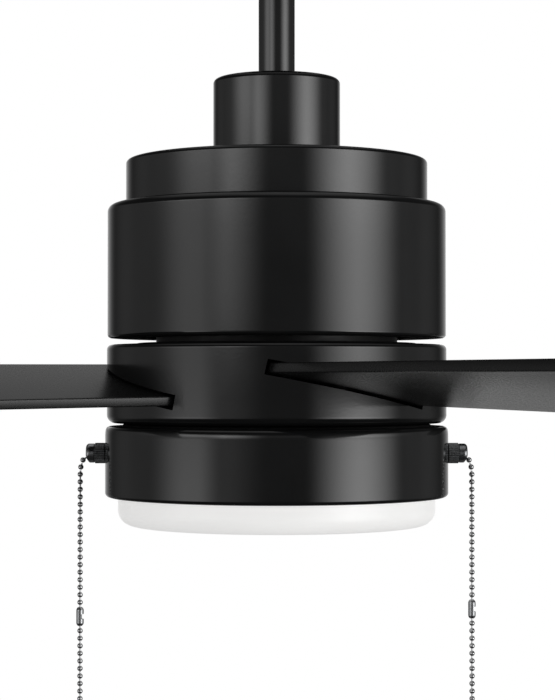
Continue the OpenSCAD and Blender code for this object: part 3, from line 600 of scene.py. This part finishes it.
def make_hub(mats):
    """Drum with four slots for the blades, its raised pad, and the clamp blocks inside."""
    low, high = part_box("blade_hub")
    r, hole, inner = high.x, 45 * MM, high.x - HUB_WALL
    pad_r, pad_h, chamfer = 81.7 * MM, 1 * MM, 0.3 * MM
    top_edge, bottom_edge = 2.7 * MM, 4.7 * MM
    top = high.z - pad_h
    obj = lathe("hub_drum", [
        (hole, high.z), (pad_r - chamfer, high.z), (pad_r, high.z - chamfer), (pad_r, top),
        *arc(r - top_edge, top - top_edge, top_edge, 90, 0),
        *arc(r - bottom_edge, low.z + bottom_edge, bottom_edge, 0, -90), (inner, low.z),
        (inner, top - HUB_TOP), (hole, top - HUB_TOP)])
    tools, blocks = [], []
    for i in range(BLADE_COUNT):
        at = blade_matrix(i)
        slot = bevelled_box(
            "tool", (78 * MM, -48.9 * MM, -4.25 * MM), (112 * MM, 50.5 * MM, 4.35 * MM), 0.4 * MM)
        tools.append(move(slot, at))
        block = bevelled_box(
            "block", (57 * MM, -38 * MM, BLADE_T / 2 + 0.05 * MM), (88 * MM, 38 * MM, 26 * MM), 0.6 * MM)
        limit = lathe("tool", [(0, low.z), (inner, low.z), (inner, top - 1 * MM), (0, top - 1 * MM)], 160)
        blocks.append(combine(move(block, at), [limit], "INTERSECT"))
    combine(obj, tools, "DIFFERENCE")
    piece(obj, "rotor", "black_enamel", mats["black_enamel"], "blade_hub")
    # Painted shade: the pad, the inner walls, the flat top and bottom faces and the walls of the blade slots
    # take the darker, duller black, where shade falls in the gaps.
    paint(obj, mats["black_painted_shade"], lambda at, normal: (
        at.xy.length < 82 * MM or at.xy.length < inner + 0.2 * MM or abs(normal.z) > 0.985
        or at.xy.length < r - 0.2 * MM and low.z + 4.8 * MM < at.z < top - 3 * MM))
    for i in range(BLADE_COUNT):
        post = lathe("post", [
            (1.6 * MM, low.z + 3.5 * MM), (5 * MM, low.z + 3.5 * MM),
            (5 * MM, top - 2 * MM), (1.6 * MM, top - 2 * MM)], 48)
        turn = Matrix.Rotation(math.radians(BLADE_AZIMUTH + 45 + i * 90), 4, "Z")
        blocks.append(move(post, turn @ Matrix.Translation((80 * MM, 0, 0))))
    piece(join("hub_clamps", blocks), "rotor", "black_enamel", mats["black_enamel"], "blade_hub")


def blade_half_width(r):
    return BLADE_HALF_AT_HUB + (r - 99.1 * MM) * BLADE_FLARE


def blade_outline(inset):
    """Plan of a blade, pulled in by inset all round."""
    tip_x, root_x = BLADE_TIP_R - TIP_CORNER, BLADE_ROOT_R + ROOT_CORNER
    tip_y = blade_half_width(BLADE_TIP_R) - TIP_CORNER
    root_y = blade_half_width(BLADE_ROOT_R) - ROOT_CORNER
    tip, root = TIP_CORNER - inset, ROOT_CORNER - inset
    return (
        arc(tip_x, -tip_y, tip, -88.4, 0, 16) + arc(tip_x, tip_y, tip, 0, 88.4, 16)
        + arc(root_x, root_y, root, 91.6, 180, 8) + arc(root_x, -root_y, root, 180, 268.4, 8))


def make_blade(index, mats):
    """Plywood blade with rounded edges all round."""
    bm = bmesh.new()
    rings = []
    for k in range(-6, 7):
        a = math.radians(15 * k)
        side = BLADE_T / 2 - BLADE_EDGE
        z = BLADE_EDGE * math.sin(a) + (side if k > 0 else -side)
        levels = [z] if k else [-side, side]
        for level in levels:
            points = blade_outline(BLADE_EDGE * (1 - math.cos(a)))
            rings.append([bm.verts.new((x, y, level)) for x, y in points])
    for lower, upper in zip(rings, rings[1:]):
        for j in range(len(lower)):
            n = (j + 1) % len(lower)
            bm.faces.new((lower[j], lower[n], upper[n], upper[j]))
    bm.faces.new(rings[0])
    bm.faces.new(rings[-1])
    obj = from_bmesh(f"blade_{index + 1}_board", bm, 50)
    piece(
        move(obj, blade_matrix(index)), "rotor", "blade_black", mats["blade_black"], f"blade_{index + 1}")


# ---------- light kit ----------

def make_kit_housing(mats):
    low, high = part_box("kit_housing")
    r, step_h, step_r = high.x, 1.2 * MM, 90 * MM
    top = high.z - step_h
    soft_r, soft, edge = 17 * MM, 11, 2.5 * MM      # the shoulder: a tight edge, then a wide one
    low_edge, hole, lip, chamfer = 2.4 * MM, 30 * MM, 92.9 * MM, 0.3 * MM
    lean = math.radians(soft)
    wall_top = top - edge - (soft_r - edge) * math.sin(lean)
    edge_at = (r - soft_r + (soft_r - edge) * math.cos(lean), top - edge)
    obj = lathe("kit_drum", [
        (hole, high.z), *arc(step_r - 0.8 * MM, high.z - 0.8 * MM, 0.8 * MM, 90, 0, 4), (step_r, top),
        *arc(*edge_at, edge, 90, soft), *arc(r - soft_r, wall_top, soft_r, soft, 0, 6)[1:],
        *arc(r - low_edge, low.z + low_edge, low_edge, 0, -90),
        (lip + chamfer, low.z), (lip, low.z + chamfer), (lip, low.z + KIT_WALL),
        *arc(r - low_edge, low.z + low_edge, low_edge - KIT_WALL, -90, 0, 4),
        *arc(r - 2.5 * MM, top - 2.5 * MM, 1 * MM, 0, 90), (step_r - KIT_WALL, top - KIT_WALL),
        (step_r - KIT_WALL, high.z - KIT_WALL), (hole, high.z - KIT_WALL)])
    outlet = outlet_height()
    tools = []
    for side in (-1, 1):
        tool = disc_cutter("tool", 4.9 * MM, 12 * MM)
        tools.append(move(tool, to_side(side, r - 6 * MM, outlet)))
    tools.append(bevelled_box(
        "tool", (-8 * MM, r - 6 * MM, outlet - 2.6 * MM), (8 * MM, r + 6 * MM, outlet + 2.6 * MM), 1.2 * MM))
    combine(obj, tools, "DIFFERENCE")
    piece(obj, "fan_body", "black_enamel", mats["black_enamel"], "kit_housing")
    # Painted shade: the top step and the flat faces near it, in the gap under the hub, take the darker,
    # duller black.
    paint(obj, mats["black_painted_shade"], lambda at, normal: (
        at.z > top - 3 * MM and (at.xy.length < step_r + 1 * MM or normal.z > 0.985)))


def make_diffuser(mats):
    """Opal pan: flat face, large rounded edge, and three bayonet lugs at its rim."""
    low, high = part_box("diffuser")
    r, wall, edge = 92.6 * MM, 2.4 * MM, 9 * MM
    obj = lathe("diffuser_pan", [
        (0, low.z), *reversed(arc(r - edge, low.z + edge, edge, 0, -90, 16)),
        *arc(r - 0.6 * MM, high.z - 0.6 * MM, 0.6 * MM, 0, 90, 4), (r - wall, high.z),
        *arc(r - edge, low.z + edge, edge - wall, 0, -90, 12), (0, low.z + wall)])
    lug_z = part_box("kit_housing")[0].z + KIT_WALL + 0.3 * MM
    lugs = []
    for k in range(3):
        lug = bevelled_box(
            "lug", (91.6 * MM, -8 * MM, lug_z), (95.7 * MM, 8 * MM, lug_z + 2.2 * MM), 0.4 * MM)
        lugs.append(move(lug, Matrix.Rotation(math.radians(90 + 120 * k), 4, "Z")))
    piece(join("diffuser_lugs", lugs), "diffuser", "opal_diffuser", mats["opal_diffuser"], "diffuser")
    piece(obj, "diffuser", "opal_diffuser", mats["opal_diffuser"], "diffuser")


# ---------- pull chains ----------

def outlet_height():
    low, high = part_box("switch_ring_nuts")
    return (low.z + high.z) / 2


def chain_line(name):
    low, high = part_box(f"{name}_chain_lower")
    return abs(low.x + high.x) / 2


def make_ring_nuts(mats):
    """Round nuts with ridges along the outlet's axis, chamfered at both ends."""
    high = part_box("switch_ring_nuts")[1]
    r, bore, length = high.z - outlet_height(), 4.85 * MM, 6.4 * MM
    chamfer, start = 0.45 * MM, high.x - length
    nuts = []
    for side in (-1, 1):
        nut = lathe("nut", [
            (bore, 0), (r - chamfer - 0.35 * MM, 0), (r, chamfer), (r, length - chamfer),
            (r - chamfer - 0.35 * MM, length), (bore, length)], 36 * 8, (36, 0.38 * MM, r - 0.01 * MM), 40)
        nuts.append(move(nut, to_side(side, start, outlet_height())))
    piece(join("knurled_nuts", nuts), "fan_body", "gunmetal", mats["dark_gunmetal"], "switch_ring_nuts")


def make_guides(mats):
    """Hooded snouts: a rounded outer corner, an open mouth low down and a lip that carries the chain."""
    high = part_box("chain_guides")[1]
    z, r, length = outlet_height(), 5.6 * MM, 4.9 * MM
    start = high.x - length
    guides = []
    for side in (-1, 1):
        hood = lathe("hood", [
            (0, 0), (r - 0.3 * MM, 0), (r, 0.3 * MM),
            *arc(r - 2 * MM, length - 2 * MM, 2 * MM, 0, 90), (0, length)], 96)
        move(hood, to_side(side, start, z))
        bore = move(disc_cutter("tool", 3.2 * MM, 10 * MM), to_side(side, start - 3 * MM, z - 0.6 * MM))
        mouth = lathe("tool", [(0, -4.3 * MM), *arc(0, 0, 4.3 * MM, -80, 80, 24), (0, 4.3 * MM)], 64)
        move(mouth, Matrix.Translation((side * (start + length + 0.8 * MM), 0, z - 2.6 * MM)))
        combine(hood, [bore, mouth], "DIFFERENCE")
        guides.append(hood)
    piece(join("chain_snouts", guides), "fan_body", "gunmetal", mats["dark_gunmetal"], "chain_guides")


def bead_at(place, towards=Z):
    """Hollow bead with a small hole at each pole, its poles on the chain's line."""
    hole = 0.42 * MM
    reach = math.degrees(math.acos(hole / BEAD_R))
    bead = lathe("bead", [
        *arc(0, 0, BEAD_R, reach, -reach, 14), *arc(0, 0, BEAD_R - 0.25 * MM, -reach + 3, reach - 3, 8)], 24)
    turn = Z.rotation_difference(Vector(towards).normalized()).to_matrix().to_4x4()
    return move(bead, Matrix.Translation(place) @ turn)


def wire(start, end, r=WIRE_R):
    start, end = Vector(start), Vector(end)
    rod = lathe("wire", [(0, 0), (r, 0), (r, (end - start).length), (0, (end - start).length)], 12)
    turn = Z.rotation_difference((end - start).normalized()).to_matrix().to_4x4()
    return move(rod, Matrix.Translation(start) @ turn)


def short_of(start, end):
    """Point on the way from start to end, just clear of the bead there."""
    gap = end - start
    return start + gap * (1 - (BEAD_R + WIRE_GAP) / gap.length)


def make_lead_beads(name, mats):
    side, _ = CHAINS[name]
    line, z = chain_line(name), outlet_height()
    spots = [Vector((side * (line + dx * MM), 0, z + dz * MM)) for dx, dz in BEAD_ROUTE]
    for k, spot in enumerate(spots):
        before = spots[k - 1] if k else None
        parts = [bead_at(spot, (before or spots[1]) - spot)]
        if before:
            parts.append(wire(spot, short_of(spot, before)))
        node = f"{name}_bead_{k + 1}"
        piece(join(f"{name}_lead_bead_{k + 1}", parts), node, "gunmetal", mats["gunmetal"], node)


def make_upper_chain(name, mats):
    side, count = CHAINS[name]
    line, top = side * chain_line(name), outlet_height() - CHAIN_DROP
    low = top - (count - 1) * BEAD_PITCH
    parts = [bead_at((line, 0, top - k * BEAD_PITCH)) for k in range(count)]
    parts.append(wire((line, 0, top), (line, 0, low)))
    last = Vector((line + side * BEAD_ROUTE[2][0] * MM, 0, outlet_height() + BEAD_ROUTE[2][1] * MM))
    parts.append(wire((line, 0, top), short_of(Vector((line, 0, top)), last)))
    node = f"{name}_chain_upper"
    piece(join(f"{name}_beads_upper", parts), node, "gunmetal", mats["gunmetal"], node)


def coupling(middle):
    """Open-sided tube that holds the two chain ends: a bead enters at the window and hangs in the slit."""
    r, bore, half = 2.2 * MM, 1.75 * MM, 5.8 * MM
    outer = arc(0, half - r, r, 60, 0, 8) + arc(0, r - half, r, 0, -60, 8)
    inner = arc(0, r - half, bore, -51, 0, 8) + arc(0, half - r, bore, 0, 51, 8)
    tube = lathe("coupling", outer + inner, 64)
    window = bevelled_box("tool", (0.9 * MM, -3 * MM, -1.5 * MM), (4 * MM, 3 * MM, 1.5 * MM), 0.5 * MM)
    slit = bevelled_box("tool", (0, -0.7 * MM, -7 * MM), (4 * MM, 0.7 * MM, 7 * MM), 0.15 * MM)
    combine(tube, [window, slit], "DIFFERENCE")
    return move(tube, Matrix.Translation(middle))


def end_weight(top, height, r):
    """Turned bell at the end of a pull chain."""
    profile = [
        (0, 0), *arc(r - 1 * MM, 1 * MM, 1 * MM, -90, 0, 5), (r, 4.2 * MM),
        *arc(r + 0.1 * MM, 4.7 * MM, 0.5 * MM, 250, 110, 6), (r, 5.2 * MM),
        (r * 0.92, height * 0.55), (r * 0.6, height - 3.4 * MM),
        *arc(r * 0.6, height - 3 * MM, 0.4 * MM, 250, 110, 5), (r * 0.55, height - 2.4 * MM),
        *arc(r * 0.28, height - 1 * MM, 1 * MM, 0, 90, 6), (0, height)]
    return move(lathe("weight", profile, 72), Matrix.Translation((top.x, 0, top.z - height)))


def make_lower_chain(name, mats):
    side, count = CHAINS[name]
    line = side * chain_line(name)
    last = outlet_height() - CHAIN_DROP - (count - 1) * BEAD_PITCH
    middle = last - GRIP
    first = middle - GRIP
    end = first - LOWER_BEADS * BEAD_PITCH
    parts = [coupling((line, 0, middle))]
    parts += [bead_at((line, 0, first - k * BEAD_PITCH)) for k in range(LOWER_BEADS)]
    parts.append(wire((line, 0, first), (line, 0, end)))
    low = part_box(f"{name}_chain_lower")[0]
    parts.append(end_weight(Vector((line, 0, end)), end - low.z, 4 * MM))
    node = f"{name}_chain_lower"
    obj = piece(join(f"{name}_beads_lower", parts), node, "gunmetal", mats["gunmetal"], node)
    paint(obj, mats["dark_gunmetal"], lambda at, normal: (
        abs(at.z - middle) < 6 * MM and math.hypot(at.x - line, at.y) > BEAD_R + 0.05 * MM or at.z < end))


# ---------- carried-over CAD nodes ----------

def finish_cad_nodes(mats):
    """The hidden and small parts keep their CAD shape and take the finish of their slot; the rotor's lower
    shell and the screws take a black casting finish instead.
    """
    for row in frame["record"]["subparts"]:
        obj = frame["nodes"][row["node"]]
        obj.data.materials.clear()
        obj.data.materials.append(mats[row["material_slot"]])
    black = black_casting()
    for name in ("rotor_bottom_shell", "blade_screws", "hub_screws"):
        slots = frame["nodes"][name].data.materials
        slots.clear()
        slots.append(black)


# ---------- studio ----------

# Soft boxes round the fan. Edges are degrees to the right of the camera's side: where the box begins,
# where it is full, where it starts to fall off and where it ends. Levels are its brightness at HEIGHTS,
# in degrees above the horizon; a box with a single level is as bright at every height.
HEIGHTS = (-2.5, 0.3, 2, 3.4, 4.7, 6, 7.8)
SOFT_BOXES = {
    "key": ((18, 57, 54, 94), (4.4, 2.6, 3.6, 3.3, 3.6, 5.1, 4.0)),
    "left": ((-95, -60, -53, -35), (1.6, 0.9, 1.05, 1.05, 1.0, 1.3, 2.3)),
    "strip": ((-50, -34, -35, -5), (0.4, 0.2, 1.3, 1.2, 1.1, 2.5, 2.8)),
    "front": ((-115, -85, 84, 110), (0.07, 0.12, 0.09, 0.1, 0.12, 0.17, 0.22)),
    "left_glow": ((-150, -112, -96, -78), (0.2,)),
    "right_glow": ((84, 96, 112, 146), (0.19,)),
}
BOX_RISE = [(-90, 0), (-24, 0), (-14, 1), (11.5, 1), (15, 0), (90, 0)]     # (degrees up, share)
WALL_FROM, WALL_FULL = 138, 178       # degrees from the camera's side where the pale wall begins and is full
WALL_LIGHT, WALL_ABOVE, WALL_BELOW = 0.5, 0.23, 0.11      # at the horizon, above it and below it
WALL_SLOPE = (8, 15)      # degrees from the horizon between which the wall's own light falls off
HORIZON_BLUR = 0.12       # height of a unit direction over which above and below run together
DOME_LIGHT, OVERHEAD_LIGHT = 0.03, 0.5
OVERHEAD_SLOPE = (0.6, 0.95)      # heights of a unit direction: from 37 to 72 degrees up


class World:
    """The studio's surroundings, written as a function of direction."""

    def __init__(self):
        self.world = bpy.data.worlds.new("studio")
        bpy.context.scene.world = self.world
        self.world.use_nodes = True
        self.tree = self.world.node_tree
        self.tree.nodes.clear()
        coords = self.tree.nodes.new("ShaderNodeTexCoord")
        split = self.tree.nodes.new("ShaderNodeSeparateXYZ")
        self.tree.links.new(coords.outputs["Generated"], split.inputs[0])
        self.x, self.y, self.z = split.outputs

    def math(self, operation, a, b=None):
        made = self.tree.nodes.new("ShaderNodeMath")
        made.operation = operation
        for socket, value in zip(made.inputs, (a, b)):
            if isinstance(value, (int, float)):
                socket.default_value = value
            elif value is not None:
                self.tree.links.new(value, socket)
        return made.outputs[0]

    def fade(self, value, start, end, low=0.0, high=1.0):
        made = self.tree.nodes.new("ShaderNodeMapRange")
        made.interpolation_type = "SMOOTHSTEP"
        self.tree.links.new(value, made.inputs["Value"])
        for key, number in zip(("From Min", "From Max", "To Min", "To Max"), (start, end, low, high)):
            made.inputs[key].default_value = number
        return made.outputs["Result"]

    def curve(self, value, stops):
        made = self.tree.nodes.new("ShaderNodeValToRGB")
        fill_ramp(made.color_ramp, [(position, (level, level, level, 1)) for position, level in stops])
        self.tree.links.new(value, made.inputs["Fac"])
        return made.outputs["Color"]


def by_height(w, rise, levels):
    """Level at a direction's rise, blended between those at HEIGHTS."""
    total = levels[0]
    for below, above, low, high in zip(HEIGHTS, HEIGHTS[1:], levels, levels[1:]):
        step = w.fade(rise, math.radians(below), math.radians(above), 0.0, high - low)
        total = w.math("ADD", step, total)
    return total


def soft_box(w, heading, rise, edges, levels):
    begins, full, falls, ends = (math.radians(edge) for edge in edges)
    across = w.math("MULTIPLY", w.fade(heading, begins, full), w.fade(heading, falls, ends, 1.0, 0.0))
    return w.math("MULTIPLY", across, by_height(w, rise, levels))


def back_wall(w, heading, rise):
    """Pale wall that closes in behind the fan, brightest at the horizon."""
    behind = w.fade(w.math("ABSOLUTE", heading), math.radians(WALL_FROM), math.radians(WALL_FULL))
    start, end = (math.radians(angle) for angle in WALL_SLOPE)
    near = w.fade(w.math("ABSOLUTE", rise), start, end, WALL_LIGHT, 0.0)
    broad = w.fade(w.z, -HORIZON_BLUR, HORIZON_BLUR, WALL_BELOW, WALL_ABOVE)
    return w.math("MULTIPLY", behind, w.math("ADD", near, broad))


def make_studio():
    """Soft boxes, wall and overhead light for the fan; plain white where the camera looks past it."""
    w = World()
    heading = w.math("ARCTAN2", w.x, w.math("MULTIPLY", w.y, -1.0))
    rise = w.math("ARCSINE", w.z)
    climb = w.math("ADD", w.math("DIVIDE", rise, math.pi), 0.5)
    boxes = 0.0
    for edges, levels in SOFT_BOXES.values():
        boxes = w.math("ADD", soft_box(w, heading, rise, edges, levels), boxes)
    boxes = w.math("MULTIPLY", boxes, w.curve(climb, [((up + 90) / 180, share) for up, share in BOX_RISE]))
    overhead = w.fade(w.z, *OVERHEAD_SLOPE, DOME_LIGHT, OVERHEAD_LIGHT)
    total = w.math("ADD", w.math("ADD", boxes, back_wall(w, heading, rise)), overhead)
    seen = w.tree.nodes.new("ShaderNodeLightPath").outputs["Is Camera Ray"]
    strength = w.math("ADD", w.math("MULTIPLY", total, w.math("SUBTRACT", 1.0, seen)), seen)
    shade = w.tree.nodes.new("ShaderNodeBackground")
    shade.inputs["Color"].default_value = (1, 1, 1, 1)
    w.tree.links.new(strength, shade.inputs["Strength"])
    out = w.tree.nodes.new("ShaderNodeOutputWorld")
    w.tree.links.new(shade.outputs[0], out.inputs["Surface"])
    bpy.context.scene.view_settings.view_transform = "Standard"


FLOOR_BELOW = 5.2         # a tall hall, so that the fan can be looked at from below too
FLOOR_R = 12.0


def make_floor():
    """Pale round floor of a tall hall, out of the frame in the front view."""
    bm = bmesh.new()
    bmesh.ops.create_circle(bm, cap_ends=True, cap_tris=True, segments=128, radius=FLOOR_R)
    floor = from_bmesh("studio_floor", bm)
    floor.location = (0, 0, CAD_HIGH.z - FLOOR_BELOW)
    floor.data.materials.append(pale_floor())
    floor.visible_glossy = False
    floor.visible_diffuse = False
    floor.visible_shadow = False


CAMERA_BACK = 1.172       # metres from the fan's axis to the lens
CAMERA_HEIGHT = -0.317    # below the ceiling, level with the blades
CAMERA_RIGHT = 0.00047
CAMERA_TILT_UP = 0.9167   # degrees
CAMERA_LENS = 102.857     # mm on a 36 mm long side


def make_camera():
    data = bpy.data.cameras.new("camera")
    data.sensor_width = 36
    data.lens = CAMERA_LENS
    camera = new_object("camera", data)
    camera.location = (CAMERA_RIGHT, -CAMERA_BACK, CAMERA_HEIGHT)
    camera.rotation_euler = (math.radians(90 + CAMERA_TILT_UP), 0, 0)
    data.clip_start, data.clip_end = 0.01, 60
    bpy.context.scene.camera = camera


# ---------- the fan ----------

MATERIALS = {
    "black_enamel": black_enamel(), "blade_black": blade_film(), "zinc_steel": zinc_steel(),
    "cast_aluminium": cast_aluminium(), "lamination_steel": lamination_steel(), "copper": copper(),
    "wire_sheath": wire_sheath(), "nylon": nylon(), "switch_plastic": switch_plastic(),
    "driver_case": driver_case(), "circuit_board": circuit_board(), "led_phosphor": led_phosphor(),
    "opal_diffuser": opal_diffuser(), "gunmetal": gunmetal(), "black_painted_shade": black_painted_shade(),
    "dark_gunmetal": dark_gunmetal(),
}

make_camera()
make_studio()
make_floor()
finish_cad_nodes(MATERIALS)
for make in (
    make_canopy, make_canopy_screws, make_downrod, make_coupling_cover, make_upper_housing,
    make_main_housing, make_hub, make_kit_housing, make_diffuser, make_ring_nuts, make_guides,
):
    make(MATERIALS)
for number in range(BLADE_COUNT):
    make_blade(number, MATERIALS)
for chain in CHAINS:
    make_lead_beads(chain, MATERIALS)
    make_upper_chain(chain, MATERIALS)
    make_lower_chain(chain, MATERIALS)
